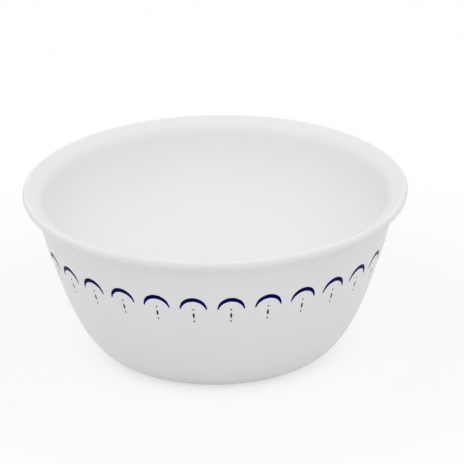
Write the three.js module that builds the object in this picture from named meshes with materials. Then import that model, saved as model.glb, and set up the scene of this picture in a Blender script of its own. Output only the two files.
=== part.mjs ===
// A small round dip bowl of white opal glass, with an enamel border of arcs and dashes fired on to its wall.
// Millimetres, +Z up. The origin is the middle of the circle on which the foot stands.
import * as THREE from "three";

// Overall sizes
const rimDiameter = 100;
const bowlHeight = 44;
const wallThickness = 2.5;

// Foot and base: a flat ring stands on the table, and the base inside it is hollowed a little
const footDiameter = 52.4;
const footRingWidth = 2.2;
const footRingSlope = 1.5;
const footHollow = 0.6;
const baseThickness = 2.5;
const floorCornerRise = 2;

// Belly: the outside leaves the foot at the toe angle and reaches the neck at the neck angle
const toeAngle = THREE.MathUtils.degToRad(9.3);
const toePull = 9.7;
const neckAngle = THREE.MathUtils.degToRad(73.4);
const neckPull = 19;

// Lip: above the neck the wall turns out through a fillet and ends in a short straight run with a round edge
const lipAngle = THREE.MathUtils.degToRad(28);
const lipFillet = 5.5;
const lipRun = 0.35;

// Enamel border, measured on the wall: down from the neck to the crowns of the arcs, then down to the dashes
const motifCount = 28;
const borderDrop = 6.45;
const arcGap = 2.7;
const arcRise = 3.95;
const arcStroke = 1.28;
const arcTip = 0.25;
const dashDrop = 1.95;
const dashLength = 2.1;
const dashWidth = 0.56;
const enamelThickness = 0.15;
const enamelClearance = 0.1;

// Facets
const facetsPerMotif = 3;
const bellySteps = 14;
const lipSteps = 6;
const edgeSteps = 6;
const cornerSteps = 4;
const arcSteps = 12;
const dashSteps = 4;

const opalGlass = new THREE.MeshStandardMaterial({ color: 0xf3f3f2, roughness: 0.38, metalness: 0 });
const navyEnamel = new THREE.MeshStandardMaterial({ color: 0x010134, roughness: 0.27, metalness: 0 });
const greyEnamel = new THREE.MeshStandardMaterial({ color: 0x1d1d1e, roughness: 0.29, metalness: 0 });

const quarterTurn = Math.PI / 2;
const footRadius = footDiameter / 2;

// A vector of the given length, pointing up from the horizontal by the given angle.
function slanted(angle, length) {
  return new THREE.Vector2(Math.cos(angle), Math.sin(angle)).multiplyScalar(length);
}

// Lip, worked out from the edge down to the neck
const edgeRadius = wallThickness / 2;
const edgeCentre = new THREE.Vector2(rimDiameter / 2 - edgeRadius, bowlHeight - edgeRadius);
const runEnd = edgeCentre.clone().add(slanted(lipAngle - quarterTurn, edgeRadius));
const runStart = runEnd.clone().sub(slanted(lipAngle, lipRun));
const filletCentre = runStart.clone().add(slanted(lipAngle - quarterTurn, lipFillet));
const neck = filletCentre.clone().add(slanted(neckAngle + quarterTurn, lipFillet));

// Outer side of the wall, from the foot ring up to the lip, and the round edge over its end
const toe = new THREE.Vector2(footRadius, 0);
const belly = new THREE.CubicBezierCurve(
  toe,
  toe.clone().add(slanted(toeAngle, toePull)),
  neck.clone().sub(slanted(neckAngle, neckPull)),
  neck,
);
const lipTurn = new THREE.EllipseCurve(
  filletCentre.x,
  filletCentre.y,
  lipFillet,
  lipFillet,
  neckAngle + quarterTurn,
  lipAngle + quarterTurn,
  true,
);
const lipEdge = new THREE.EllipseCurve(
  edgeCentre.x,
  edgeCentre.y,
  edgeRadius,
  edgeRadius,
  lipAngle - quarterTurn,
  lipAngle + quarterTurn,
);

// Points up the outer side of the wall, each with its direction and the point behind it inside the bowl.
function wallStations(curve, steps) {
  return Array.from({ length: steps + 1 }, (_, step) => {
    const outer = curve.getPoint(step / steps);
    const along = curve.getTangent(step / steps);
    const inner = new THREE.Vector2(-along.y, along.x).multiplyScalar(wallThickness).add(outer);
    return { outer, along, inner };
  });
}

// Half of the section: under the base, out over the foot, up the outside, over the edge, down the inside.
function bowlSection() {
  const wall = [...wallStations(belly, bellySteps), ...wallStations(lipTurn, lipSteps).slice(1)];
  const floorHeight = footHollow + baseThickness;
  const insideWall = wall.filter((station) => station.inner.y >= floorHeight + floorCornerRise);
  const join = insideWall[0];
  const reach = (join.inner.y - floorHeight) / join.along.y;
  const cornerMeet = join.inner.clone().addScaledVector(join.along, -reach);
  const floorEdge = new THREE.Vector2(cornerMeet.x - reach, floorHeight);
  const corner = new THREE.QuadraticBezierCurve(join.inner, cornerMeet, floorEdge);
  const ringInside = footRadius - footRingWidth;
  return [
    new THREE.Vector2(0, footHollow),
    new THREE.Vector2(ringInside - footRingSlope, footHollow),
    new THREE.Vector2(ringInside, 0),
    ...wall.map((station) => station.outer),
    ...lipEdge.getPoints(edgeSteps),
    ...insideWall.map((station) => station.inner).reverse(),
    ...corner.getPoints(cornerSteps).slice(1),
    new THREE.Vector2(0, floorHeight),
  ];
}

function glassBody() {
  const turned = new THREE.LatheGeometry(bowlSection(), motifCount * facetsPerMotif);
  const mesh = new THREE.Mesh(turned.rotateX(quarterTurn), opalGlass);
  mesh.name = "bowl_body";
  return mesh;
}

// The place on the outer wall at a distance below the neck, with the wall's direction there.
function wallBelowNeck(distance) {
  const share = 1 - distance / belly.getLength();
  return { at: belly.getPointAt(share), along: belly.getTangentAt(share) };
}

// Points of a circular arc over a level chord, from left to right. A negative rise hangs below the chord.
function arcOverChord(span, rise, steps) {
  const halfSweep = 2 * Math.atan2(2 * rise, span);
  const radius = span / 2 / Math.sin(halfSweep);
  return Array.from({ length: steps + 1 }, (_, step) => {
    const angle = halfSweep * ((2 * step) / steps - 1);
    const height = radius * (Math.cos(angle) - Math.cos(halfSweep));
    return new THREE.Vector2(radius * Math.sin(angle), height);
  });
}

// A thin flat island of enamel inside a closed outline.
function enamelIsland(outline) {
  return new THREE.ExtrudeGeometry(new THREE.Shape(outline), { depth: enamelThickness, bevelEnabled: false });
}

// Lays a flat island on the front of the wall, with its own origin at a distance below the neck.
function wrapOnWall(island, belowNeck) {
  const position = island.getAttribute("position");
  for (let index = 0; index < position.count; index += 1) {
    const { at, along } = wallBelowNeck(belowNeck - position.getY(index));
    const lift = enamelClearance + position.getZ(index);
    const around = position.getX(index) / at.x;
    const radius = at.x + lift * along.y;
    const height = at.y - lift * along.x;
    position.setXYZ(index, radius * Math.sin(around), -radius * Math.cos(around), height);
  }
  island.computeVertexNormals();
  return island;
}

// One ring of like islands, half a pitch from the front so that two of them flank it.
function enamelRing(island, name, material) {
  const ring = new THREE.Group();
  const pitch = (2 * Math.PI) / motifCount;
  for (let motif = 0; motif < motifCount; motif += 1) {
    const mesh = new THREE.Mesh(island, material);
    mesh.name = `${name}_${String(motif + 1).padStart(2, "0")}`;
    mesh.rotation.z = (motif + 1 / 2) * pitch;
    ring.add(mesh);
  }
  return ring;
}

function blueArcs() {
  const chordBelowNeck = borderDrop + arcRise;
  const pitch = (2 * Math.PI * wallBelowNeck(chordBelowNeck).at.x) / motifCount;
  const span = pitch - arcGap;
  const upper = arcOverChord(span, arcRise, arcSteps);
  const lower = arcOverChord(span - 2 * arcTip, arcRise - arcStroke, arcSteps).reverse();
  const flat = enamelIsland([...upper, ...lower]);
  return enamelRing(wrapOnWall(flat, chordBelowNeck), "blue_arc", navyEnamel);
}

function greyDashes() {
  const upper = arcOverChord(dashLength, dashWidth / 2, dashSteps);
  const lower = arcOverChord(dashLength, -dashWidth / 2, dashSteps).slice(1, -1).reverse();
  const flat = enamelIsland([...upper, ...lower]).rotateZ(quarterTurn);
  return enamelRing(wrapOnWall(flat, borderDrop + arcRise + dashDrop), "grey_dash", greyEnamel);
}

const dipBowl = new THREE.Group();
dipBowl.name = "dip_bowl";
dipBowl.add(glassBody(), blueArcs(), greyDashes());

export default dipBowl;
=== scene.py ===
from collections import Counter
from math import atan2, cos, pi, radians, sin, tan
import bpy
from mathutils import Matrix, Vector
from mathutils.geometry import intersect_point_line


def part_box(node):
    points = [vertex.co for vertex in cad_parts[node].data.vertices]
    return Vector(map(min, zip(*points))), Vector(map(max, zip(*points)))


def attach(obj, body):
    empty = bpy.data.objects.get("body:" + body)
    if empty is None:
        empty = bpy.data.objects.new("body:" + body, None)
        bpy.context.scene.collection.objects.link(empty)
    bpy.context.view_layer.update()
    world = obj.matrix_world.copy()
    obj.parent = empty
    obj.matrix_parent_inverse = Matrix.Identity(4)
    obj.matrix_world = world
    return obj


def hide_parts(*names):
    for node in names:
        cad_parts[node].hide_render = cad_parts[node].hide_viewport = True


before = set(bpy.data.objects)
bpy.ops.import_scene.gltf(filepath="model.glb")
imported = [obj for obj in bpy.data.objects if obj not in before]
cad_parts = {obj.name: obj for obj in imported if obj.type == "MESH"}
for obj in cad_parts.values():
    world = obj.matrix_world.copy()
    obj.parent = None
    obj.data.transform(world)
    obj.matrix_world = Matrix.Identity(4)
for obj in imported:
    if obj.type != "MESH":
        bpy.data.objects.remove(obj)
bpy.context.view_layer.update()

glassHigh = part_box("bowl_body")[1]
mm = 0.001
weld = 0.001 * mm         # points nearer than this are one point
slack = 0.01 * mm         # for picking edges by their place
print("frame loaded:", len(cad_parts), "nodes")


# camera: a long lens from above the rim, turned a little round the bowl

photoView = {
    "elevation": radians(22.92),
    "swing": radians(1.68),       # round the bowl towards +X
    "roll": radians(-0.99),
    "distance": 2150 * mm,        # to the middle of the rim
    "rimDrop": 1.25 * mm,         # that middle is taken this far under the rim's top
    "lens": 643.1,
    "sensor": 36,
    "right": 4.37 * mm,           # where the picture's middle lies from the rim's middle
    "down": 10.46 * mm,
}


def setCamera(v):
    camera = bpy.data.objects.new("camera", bpy.data.cameras.new("camera"))
    bpy.context.scene.collection.objects.link(camera)
    camera.data.lens = v["lens"]
    camera.data.sensor_width = v["sensor"]
    back = Vector((
        sin(v["swing"]) * cos(v["elevation"]),
        -cos(v["swing"]) * cos(v["elevation"]),
        sin(v["elevation"]),
    ))
    rim = Vector((0, 0, glassHigh.z - v["rimDrop"]))
    place = rim + back * v["distance"]
    roll = Matrix.Rotation(v["roll"], 3, "Z")
    turn = (-back).to_track_quat("-Z", "Y").to_matrix() @ roll
    middle = rim + turn @ Vector((v["right"], -v["down"], 0))
    aim = (middle - place).to_track_quat("-Z", "Y").to_matrix() @ roll
    camera.matrix_world = Matrix.Translation(place) @ aim.to_4x4()
    bpy.context.scene.camera = camera


setCamera(photoView)
print("camera set")


# helpers for working in edit mode

def startVertex(point):
    bpy.ops.object.select_all(action="DESELECT")
    bpy.ops.mesh.primitive_plane_add(size=1 * mm, location=(0, 0, 0))
    bpy.ops.object.mode_set(mode="EDIT")
    bpy.ops.mesh.select_mode(type="VERT")
    bpy.ops.mesh.merge(type="CENTER")
    bpy.ops.transform.translate(value=point)
    return bpy.context.object


def closeUp():
    bpy.ops.mesh.select_all(action="SELECT")
    bpy.ops.mesh.remove_doubles(threshold=weld)


def finishPiece(piece, name, slot, material, *nodes):
    piece.name = name
    piece.data.name = name
    piece.data.materials.clear()
    piece.data.materials.append(material)
    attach(piece, "root")
    if nodes:
        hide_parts(*nodes)


# node helpers

def startMaterial(name):
    material = bpy.data.materials.new(name)
    material.use_nodes = True
    tree = material.node_tree
    return material, tree, tree.nodes["Principled BSDF"]


def addPlace(tree):
    return tree.nodes.new("ShaderNodeTexCoord").outputs["Object"]


def addNoise(tree, place, scale, detail=2.0, rough=0.5):
    noise = tree.nodes.new("ShaderNodeTexNoise")
    noise.inputs["Scale"].default_value = scale
    noise.inputs["Detail"].default_value = detail
    noise.inputs["Roughness"].default_value = rough
    tree.links.new(place, noise.inputs["Vector"])
    return noise.outputs["Fac"]


def addRange(tree, value, low, high, toLow, toHigh, kind="LINEAR"):
    spread = tree.nodes.new("ShaderNodeMapRange")
    spread.interpolation_type = kind
    for socket, number in zip(spread.inputs[1:5], (low, high, toLow, toHigh)):
        socket.default_value = number
    tree.links.new(value, spread.inputs["Value"])
    return spread.outputs["Result"]


def addMath(tree, operation, first, second):
    step = tree.nodes.new("ShaderNodeMath")
    step.operation = operation
    for socket, value in zip(step.inputs, (first, second)):
        if isinstance(value, (int, float)):
            socket.default_value = value
        else:
            tree.links.new(value, socket)
    return step.outputs["Value"]


def addMix(tree, share, first, second):
    mix = tree.nodes.new("ShaderNodeMix")
    mix.data_type = "RGBA"
    tree.links.new(share, mix.inputs["Factor"])
    for socket, value in ((mix.inputs["A"], first), (mix.inputs["B"], second)):
        if isinstance(value, tuple):
            socket.default_value = (*value, 1)
        else:
            tree.links.new(value, socket)
    return mix.outputs["Result"]


def addBump(tree, height, strength, distance, under=None):
    bump = tree.nodes.new("ShaderNodeBump")
    bump.inputs["Strength"].default_value = strength
    bump.inputs["Distance"].default_value = distance
    tree.links.new(height, bump.inputs["Height"])
    if under:
        tree.links.new(under, bump.inputs["Normal"])
    return bump.outputs["Normal"]


# opal glass: a soft white, a little cloudy, fire polished, and dull where the foot rubs on the table

opal = {
    "milk": (0.902, 0.902, 0.901),
    "cloud": (0.916, 0.916, 0.916),
    "clouds": {"scale": 22, "detail": 3},
    "cloudSpan": (0.35, 0.65),
    "seed": (0.86, 0.86, 0.855),              # tiny grains that didn't melt
    "seeds": {"scale": 1400, "detail": 1},
    "seedSpan": (0.76, 0.82),
    "gloss": (0.34, 0.44),
    "sheen": {"scale": 90, "detail": 4, "rough": 0.6},
    "sheenSpan": (0.3, 0.7),
    "wear": 0.45,
    "wearHeight": 0.35 * mm,
    "scuffs": {"scale": 420, "detail": 5, "rough": 0.7},
    "scuffSpan": (0.35, 0.65),
    "scuffShare": (0.3, 1),
    "swell": {"scale": 40, "detail": 1},      # the slow waves of a pressed wall
    "swellBump": (0.10, 0.15 * mm),
    "skin": {"scale": 700, "detail": 2},
    "skinBump": (0.03, 0.02 * mm),
    "bending": 1.5,
    "shine": 0.25,
    "glow": 0.10,
    "glowDepth": 0.6 * mm,
}


def opalGlass(o):
    material, tree, shader = startMaterial("opal glass")
    place = addPlace(tree)
    drift = addNoise(tree, place, **o["clouds"])
    clouds = addRange(tree, drift, *o["cloudSpan"], 0, 1, "SMOOTHSTEP")
    seeds = addRange(tree, addNoise(tree, place, **o["seeds"]), *o["seedSpan"], 0, 1)
    body = addMix(tree, clouds, o["milk"], o["cloud"])
    tree.links.new(addMix(tree, seeds, body, o["seed"]), shader.inputs["Base Color"])
    sheen = addRange(tree, addNoise(tree, place, **o["sheen"]), *o["sheenSpan"], *o["gloss"])
    height = tree.nodes.new("ShaderNodeSeparateXYZ")
    tree.links.new(place, height.inputs["Vector"])
    rub = addRange(tree, height.outputs["Z"], 0, o["wearHeight"], 1, 0, "SMOOTHSTEP")
    scuffs = addRange(tree, addNoise(tree, place, **o["scuffs"]), *o["scuffSpan"], *o["scuffShare"])
    worn = addMath(tree, "MULTIPLY", addMath(tree, "MULTIPLY", rub, scuffs), o["wear"])
    tree.links.new(addMath(tree, "ADD", sheen, worn), shader.inputs["Roughness"])
    swell = addBump(tree, addNoise(tree, place, **o["swell"]), *o["swellBump"])
    skin = addBump(tree, addNoise(tree, place, **o["skin"]), *o["skinBump"], swell)
    tree.links.new(skin, shader.inputs["Normal"])
    shader.inputs["IOR"].default_value = o["bending"]
    shader.inputs["Specular IOR Level"].default_value = o["shine"]
    shader.inputs["Subsurface Weight"].default_value = o["glow"]
    shader.inputs["Subsurface Radius"].default_value = (1, 1, 1)
    shader.inputs["Subsurface Scale"].default_value = o["glowDepth"]
    return material


# fired enamel: dense where the film is full, thinner at its edges, with a fine screen-printed grain

navy = {
    "full": (0.0002, 0.0002, 0.046),
    "thin": (0.010, 0.014, 0.450),
    "gloss": (0.20, 0.34),
    "shine": 0.02,
}
grey = {
    "full": (0.022, 0.022, 0.023),
    "thin": (0.040, 0.040, 0.042),
    "gloss": (0.22, 0.36),
    "shine": 0.02,
}
enamel = {
    "grain": {"scale": 2600, "detail": 3, "rough": 0.6},
    "grainSpan": (0.3, 0.7),
    "grainShare": (-0.25, 0.25),
    "coverSpan": (0.1, 0.7),
    "sheen": {"scale": 800, "detail": 3},
    "sheenSpan": (0.3, 0.7),
    "tooth": {"scale": 1900, "detail": 3},
    "toothBump": (0.15, 0.01 * mm),
}


def firedEnamel(name, colour, e):
    material, tree, shader = startMaterial(name)
    place = addPlace(tree)
    film = tree.nodes.new("ShaderNodeAttribute")
    film.attribute_name = "film"
    grain = addRange(tree, addNoise(tree, place, **e["grain"]), *e["grainSpan"], *e["grainShare"])
    dense = addMath(tree, "ADD", film.outputs["Fac"], grain)
    cover = addRange(tree, dense, *e["coverSpan"], 0, 1, "SMOOTHSTEP")
    tree.links.new(addMix(tree, cover, colour["thin"], colour["full"]), shader.inputs["Base Color"])
    sheen = addRange(tree, addNoise(tree, place, **e["sheen"]), *e["sheenSpan"], *colour["gloss"])
    tree.links.new(sheen, shader.inputs["Roughness"])
    tooth = addBump(tree, addNoise(tree, place, **e["tooth"]), *e["toothBump"])
    tree.links.new(tooth, shader.inputs["Normal"])
    shader.inputs["Specular IOR Level"].default_value = colour["shine"]
    return material


glassFinish = opalGlass(opal)
navyFinish = firedEnamel("navy enamel", navy, enamel)
greyFinish = firedEnamel("grey enamel", grey, enamel)
print("finishes made")


# the bowl: half a section, drawn point by point and spun about the upright axis

bowl = {
    "wall": 2.5 * mm,
    "footRadius": 26.2 * mm,
    "footRing": 2.2 * mm,
    "footSlope": 1.5 * mm,
    "footHollow": 0.6 * mm,
    "footRound": 0.3 * mm,
    "roundSteps": 3,
    "base": 2.5 * mm,
    "cornerRise": 2 * mm,
    "toeAngle": radians(9.3),
    "toePull": 9.7 * mm,
    "neckAngle": radians(73.4),
    "neckPull": 19 * mm,
    "lipAngle": radians(28),
    "lipFillet": 5.5 * mm,
    "lipRun": 0.35 * mm,
    "lipInner": 4 * mm,           # the turn is tighter inside, so the lip looks flat from above
    "edgeRound": 0.9 * mm,        # above the widest line; below it the edge has a larger round
    "hair": 0.001 * mm,           # keeps the widest line inside the CAD box
    "bellySteps": 44,
    "lipSteps": 10,
    "edgeSteps": 10,
    "cornerSteps": 12,
    "rings": (0, 0.35, 0.7, 1),   # shares of the way from the middle to the edge of a flat base
    "turns": 168,
    "smoothAngle": radians(40),
}


def slanted(angle, length=1.0):
    return Vector((cos(angle), sin(angle))) * length


def bezier(a, b, c, d, t):
    point = a * (1 - t) ** 3 + b * 3 * t * (1 - t) ** 2 + c * 3 * t * t * (1 - t) + d * t ** 3
    along = (b - a) * (1 - t) ** 2 + (c - b) * 2 * t * (1 - t) + (d - c) * t * t
    return point, along.normalized()


def lipUnderside(b):
    # its outer end, the middle of the turn before it, and the neck
    edge = b["wall"] / 2
    middle = Vector((glassHigh.x - edge, glassHigh.z - edge))
    runEnd = middle + slanted(b["lipAngle"] - pi / 2, edge)
    runStart = runEnd - slanted(b["lipAngle"], b["lipRun"])
    turnCentre = runStart + slanted(b["lipAngle"] - pi / 2, b["lipFillet"])
    neck = turnCentre + slanted(b["neckAngle"] + pi / 2, b["lipFillet"])
    return runEnd, turnCentre, neck


def bellyLine(b, steps):
    neck = lipUnderside(b)[2]
    toe = Vector((b["footRadius"], 0))
    toeHandle = toe + slanted(b["toeAngle"], b["toePull"])
    neckHandle = neck - slanted(b["neckAngle"], b["neckPull"])
    return [bezier(toe, toeHandle, neckHandle, neck, k / steps) for k in range(steps + 1)]


def turnLine(b, centre, radius):
    line = []
    for k in range(b["lipSteps"] + 1):
        angle = b["neckAngle"] + (b["lipAngle"] - b["neckAngle"]) * k / b["lipSteps"]
        line.append((centre + slanted(angle + pi / 2, radius), slanted(angle)))
    return line


def edgeLine(b):
    # two rounds meet at the widest line, and the lower one touches the lip's underside
    runEnd = lipUnderside(b)[0]
    widest = Vector((glassHigh.x - b["hair"], glassHigh.z - b["edgeRound"]))
    down = slanted(b["lipAngle"] - pi / 2)
    under = (runEnd - widest).dot(down) / (1 - down.x)
    line = []
    for k in range(1, b["edgeSteps"]):
        angle = (b["lipAngle"] - pi / 2) * (1 - k / b["edgeSteps"])
        line.append(widest + slanted(angle, under) - Vector((under, 0)))
    for k in range(b["edgeSteps"] + 1):
        angle = (b["lipAngle"] + pi / 2) * k / b["edgeSteps"]
        line.append(widest + slanted(angle, b["edgeRound"]) - Vector((b["edgeRound"], 0)))
    return line


def insideLine(b, belly, lipEnd):
    line = [(p + Vector((-t.y, t.x)) * b["wall"], t) for p, t in belly]
    # the lip's flat and the wall meet in a turn of their own
    neck, up, out = line[-1][0], slanted(b["neckAngle"]), slanted(b["lipAngle"])
    bend = neck + up * ((lipEnd - neck).cross(out) / up.cross(out))
    turnStart = bend - up * b["lipInner"] * tan((b["neckAngle"] - b["lipAngle"]) / 2)
    turnCentre = turnStart + slanted(b["neckAngle"] - pi / 2, b["lipInner"])
    return line + turnLine(b, turnCentre, b["lipInner"])


def bowlSection(b):
    belly = bellyLine(b, b["bellySteps"])
    outside = belly + turnLine(b, lipUnderside(b)[1], b["lipFillet"])[1:]
    edge = edgeLine(b)
    floor = b["footHollow"] + b["base"]
    inside = [(p, t) for p, t in insideLine(b, belly, edge[-1]) if p.y >= floor + b["cornerRise"]]
    join, along = inside[0]
    reach = (join.y - floor) / along.y
    meet = join - along * reach
    floorEdge = Vector((meet.x - reach, floor))
    corner = []
    for k in range(1, b["cornerSteps"] + 1):
        t = k / b["cornerSteps"]
        corner.append(join * (1 - t) ** 2 + meet * 2 * t * (1 - t) + floorEdge * t * t)
    ring = b["footRadius"] - b["footRing"]
    hollow = [Vector((share * (ring - b["footSlope"]), b["footHollow"])) for share in b["rings"]]
    floorLine = [Vector((share * floorEdge.x, floor)) for share in reversed(b["rings"][:-1])]
    section = hollow + [Vector((ring, 0))] + [p for p, t in outside] + edge
    return section + [p for p, t in reversed(inside)] + corner + floorLine


def spinBowl(b):
    section = [Vector((p.x, 0, p.y)) for p in bowlSection(b)]
    piece = startVertex(section[0])
    for here, there in zip(section, section[1:]):
        bpy.ops.mesh.extrude_region_move(TRANSFORM_OT_translate={"value": there - here})
    bpy.ops.mesh.select_all(action="SELECT")
    bpy.ops.mesh.spin(steps=b["turns"], angle=2 * pi, center=(0, 0, 0), axis=(0, 0, 1))
    closeUp()
    bpy.ops.mesh.normals_make_consistent(inside=False)
    # round off the inner edge of the foot ring
    bpy.ops.mesh.select_mode(type="EDGE")
    bpy.ops.mesh.select_all(action="DESELECT")
    bpy.ops.object.mode_set(mode="OBJECT")
    spots = piece.data.vertices
    ring = b["footRadius"] - b["footRing"]
    for e in piece.data.edges:
        ends = [spots[k].co for k in e.vertices]
        e.select = all(abs(p.z) < slack and abs(p.xy.length - ring) < slack for p in ends)
    bpy.ops.object.mode_set(mode="EDIT")
    bpy.ops.mesh.bevel(offset=b["footRound"], segments=b["roundSteps"], affect="EDGES")
    bpy.ops.object.mode_set(mode="OBJECT")
    bpy.ops.object.shade_smooth_by_angle(angle=b["smoothAngle"])
    return piece


glass = spinBowl(bowl)
finishPiece(glass, "opal_bowl", "opal_glass", glassFinish, "bowl_body")
print("bowl spun:", len(glass.data.polygons), "faces")


# the border: flat marks made once, laid on the wall at the front and copied round

border = {
    "motifs": 28,
    "drop": 6.45 * mm,        # down the wall from the neck to the crowns of the arcs
    "film": 0.03 * mm,        # how far the enamel stands off the glass where it is full
    "sink": 0.004 * mm,       # how far its edges lie in the glass
    "body": 0.03 * mm,
    "rim": 0.30 * mm,         # the film thins out over this width
    "creep": 0.02 * mm,       # how far the arcs' edges ran in the fire
    "runSteps": 400,          # for measuring along the wall
}
arc = {
    "gap": 2.7 * mm,
    "rise": 3.95 * mm,
    "stroke": 1.28 * mm,
    "tip": 0.29 * mm,         # the width of its blunt ends
    "steps": 28,
    "cuts": 7,
}
dash = {
    "drop": 1.95 * mm,        # from the arcs' chord to the middle of the dash
    "length": 2.1 * mm,
    "width": 0.56 * mm,
    "tip": 0,
    "steps": 10,
    "cuts": 3,
}
dot = {
    "width": 0.53 * mm,
    "above": 2.0 * mm,        # from the middle of the dash
    "below": 1.9 * mm,
    "sides": 12,
    "inset": 0.125,           # of the width
}


def wallLength(b, steps):
    points = bellyLine(b, steps)[::-1]
    run = [0.0]
    for here, there in zip(points, points[1:]):
        run.append(run[-1] + (here[0] - there[0]).length)
    return list(zip(run, points))


wallRun = wallLength(bowl, border["runSteps"])


def wallBelowNeck(distance):
    k = next(n for n, (run, spot) in enumerate(wallRun) if run > distance)
    (runA, (a, s)), (runB, (b, t)) = wallRun[k - 1], wallRun[k]
    share = (distance - runA) / (runB - runA)
    return a.lerp(b, share), s.lerp(t, share).normalized()


def archLine(span, rise, steps):
    sweep = 4 * atan2(2 * rise, span)
    radius = span / 2 / sin(sweep / 2)
    bpy.ops.mesh.spin(steps=steps, angle=sweep, center=(0, rise - radius, 0), axis=(0, 0, -1))


def archMark(span, upper, lower, m):
    # two lines spun over one chord from its right-hand end, and bridged
    end = Vector((span / 2, 0, 0))
    piece = startVertex(end)
    archLine(span, upper, m["steps"])
    bpy.ops.mesh.select_all(action="DESELECT")
    bpy.ops.object.mode_set(mode="OBJECT")
    for spot in piece.data.vertices:
        spot.select = (spot.co - end).length < weld
    bpy.ops.object.mode_set(mode="EDIT")
    bpy.ops.mesh.duplicate_move(TRANSFORM_OT_translate={"value": (-m["tip"], 0, 0)})
    archLine(span - 2 * m["tip"], lower, m["steps"])
    bpy.ops.mesh.select_mode(type="EDGE")
    bpy.ops.mesh.select_all(action="SELECT")
    bpy.ops.mesh.bridge_edge_loops(number_cuts=m["cuts"], interpolation="LINEAR")
    closeUp()
    bpy.ops.object.mode_set(mode="OBJECT")
    return piece


def dotMark(d):
    bpy.ops.object.select_all(action="DESELECT")
    bpy.ops.mesh.primitive_circle_add(vertices=d["sides"], radius=d["width"] / 2, fill_type="NGON")
    bpy.ops.object.mode_set(mode="EDIT")
    bpy.ops.mesh.select_all(action="SELECT")
    bpy.ops.mesh.inset(thickness=d["width"] * d["inset"])
    bpy.ops.mesh.poke()
    bpy.ops.object.mode_set(mode="OBJECT")
    return bpy.context.object


def coverFilm(piece):
    # the film is full from the rim's width inwards
    mesh = piece.data
    uses = Counter(key for face in mesh.polygons for key in face.edge_keys)
    rims = [key for key, count in uses.items() if count == 1]
    outline = [[mesh.vertices[k].co.copy() for k in key] for key in rims]
    film = mesh.attributes.new("film", "FLOAT", "POINT")
    for spot, cover in zip(mesh.vertices, film.data):
        away = border["rim"]
        for a, b in outline:
            share = intersect_point_line(spot.co, a, b)[1]
            near = a.lerp(b, min(max(share, 0), 1))
            away = min(away, (spot.co - near).length)
        cover.value = away / border["rim"]


def layOnWall(piece, belowNeck):
    for spot, cover in zip(piece.data.vertices, piece.data.attributes["film"].data):
        p, along = wallBelowNeck(belowNeck - spot.co.y)
        lift = cover.value * (border["film"] + border["sink"]) - border["sink"]
        around = spot.co.x / p.x
        radius = p.x + lift * along.y
        spot.co = (radius * sin(around), -radius * cos(around), p.y - lift * along.x)
    thick = piece.modifiers.new("body", "SOLIDIFY")
    thick.thickness = border["body"]
    thick.offset = -1
    bpy.ops.object.select_all(action="DESELECT")
    piece.select_set(True)
    bpy.context.view_layer.objects.active = piece
    bpy.ops.object.modifier_apply(modifier=thick.name)
    bpy.ops.object.shade_smooth()


def copyRound(master, name, slot, material, node=None):
    # two motifs flank the front
    pitch = 2 * pi / border["motifs"]
    for k in range(border["motifs"]):
        piece = master.copy()
        piece.data = master.data.copy()
        bpy.context.scene.collection.objects.link(piece)
        piece.data.transform(Matrix.Rotation((k + 0.5) * pitch, 4, "Z"))
        nodes = ["%s_%02d" % (node, k + 1)] if node else []
        finishPiece(piece, "%s_%02d" % (name, k + 1), slot, material, *nodes)
    bpy.data.objects.remove(master)


def layBorder():
    chord = border["drop"] + arc["rise"]
    pitch = 2 * pi * wallBelowNeck(chord)[0].x / border["motifs"]
    ran = border["creep"]
    span = pitch - arc["gap"] + 2 * ran
    mark = archMark(span, arc["rise"] + ran, arc["rise"] - arc["stroke"] - ran, arc)
    coverFilm(mark)
    layOnWall(mark, chord)
    copyRound(mark, "navy_arc", "navy_enamel", navyFinish, "blue_arc")
    middle = chord + dash["drop"]
    mark = archMark(dash["length"], dash["width"] / 2, -dash["width"] / 2, dash)
    mark.data.transform(Matrix.Rotation(pi / 2, 4, "Z"))
    coverFilm(mark)
    layOnWall(mark, middle)
    copyRound(mark, "dash_mark", "grey_enamel", greyFinish, "grey_dash")
    for name, drop in (("upper_dot", -dot["above"]), ("lower_dot", dot["below"])):
        mark = dotMark(dot)
        coverFilm(mark)
        layOnWall(mark, middle + drop)
        copyRound(mark, name, "grey_enamel", greyFinish)


layBorder()
print("border laid:", 4 * border["motifs"], "marks")


# studio: a pale floor in a tent of soft light that is brightest half way up and towards the front

studio = {
    "floorSize": 8,
    "floorDrop": 0.02 * mm,               # keeps the floor clear of the foot's flat face
    "floorColour": (0.88, 0.88, 0.88),
    "floorGlow": 0.004,
    "floorRough": 0.8,
    "floorShine": 0.1,
    "seenFloor": (0.38, 0.38, 0.38),      # to the camera and in reflections the floor goes to white
    "seenGlow": 0.63,
    "tent": 1.753,            # strength of the belt of light half way up the tent
    "tilt": 1.726,            # under 2 brings the belt below 45 degrees
    "narrow": 2.13,           # more makes a narrower belt
    "lean": 0.15,             # how much brighter the tent is at the front than at its sides
}


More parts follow.
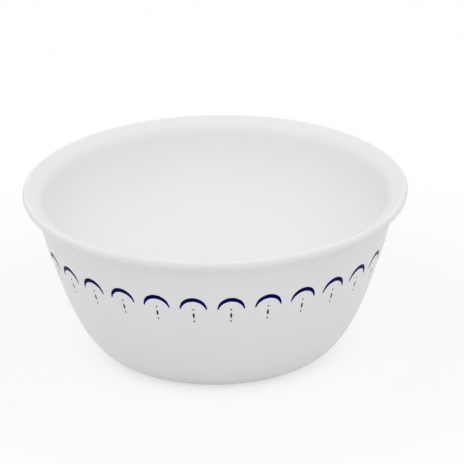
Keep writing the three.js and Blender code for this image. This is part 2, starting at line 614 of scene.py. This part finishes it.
def seenDirectly(tree):
    path = tree.nodes.new("ShaderNodeLightPath")
    seen = addMath(tree, "MAXIMUM", path.outputs["Is Camera Ray"], path.outputs["Is Glossy Ray"])
    return addMath(tree, "MAXIMUM", seen, path.outputs["Is Transmission Ray"])


def layFloor(s):
    bpy.ops.object.select_all(action="DESELECT")
    bpy.ops.mesh.primitive_plane_add(size=s["floorSize"], location=(0, 0, -s["floorDrop"]))
    floor = bpy.context.object
    floor.name = "floor"
    material, tree, shader = startMaterial("pale floor")
    seen = seenDirectly(tree)
    tree.links.new(addMix(tree, seen, s["floorColour"], s["seenFloor"]), shader.inputs["Base Color"])
    glow = addRange(tree, seen, 0, 1, s["floorGlow"], s["seenGlow"])
    tree.links.new(glow, shader.inputs["Emission Strength"])
    shader.inputs["Emission Color"].default_value = (1, 1, 1, 1)
    shader.inputs["Roughness"].default_value = s["floorRough"]
    shader.inputs["Specular IOR Level"].default_value = s["floorShine"]
    floor.data.materials.append(material)


def raiseTent(s):
    world = bpy.data.worlds.new("tent")
    bpy.context.scene.world = world
    world.use_nodes = True
    tree = world.node_tree
    aim = tree.nodes.new("ShaderNodeSeparateXYZ")
    tree.links.new(tree.nodes.new("ShaderNodeTexCoord").outputs["Generated"], aim.inputs["Vector"])
    high = addMath(tree, "POWER", addMath(tree, "MAXIMUM", aim.outputs["Z"], 0), s["tilt"])
    low = addMath(tree, "SUBTRACT", 1, high)
    # four times the product is 1 in the middle of the belt
    belt = addMath(tree, "MULTIPLY", addMath(tree, "MULTIPLY", high, low), 4)
    glow = addMath(tree, "MULTIPLY", addMath(tree, "POWER", belt, s["narrow"]), s["tent"])
    front = addMath(tree, "SUBTRACT", 1, addMath(tree, "MULTIPLY", aim.outputs["Y"], s["lean"]))
    seen = seenDirectly(tree)
    unseen = addMath(tree, "SUBTRACT", 1, seen)
    light = addMath(tree, "MULTIPLY", addMath(tree, "MULTIPLY", glow, front), unseen)
    background = tree.nodes["Background"]
    tree.links.new(addMath(tree, "ADD", light, seen), background.inputs["Strength"])
    background.inputs["Color"].default_value = (1, 1, 1, 1)


layFloor(studio)
raiseTent(studio)
bpy.context.scene.view_settings.view_transform = "Standard"
print("studio set")
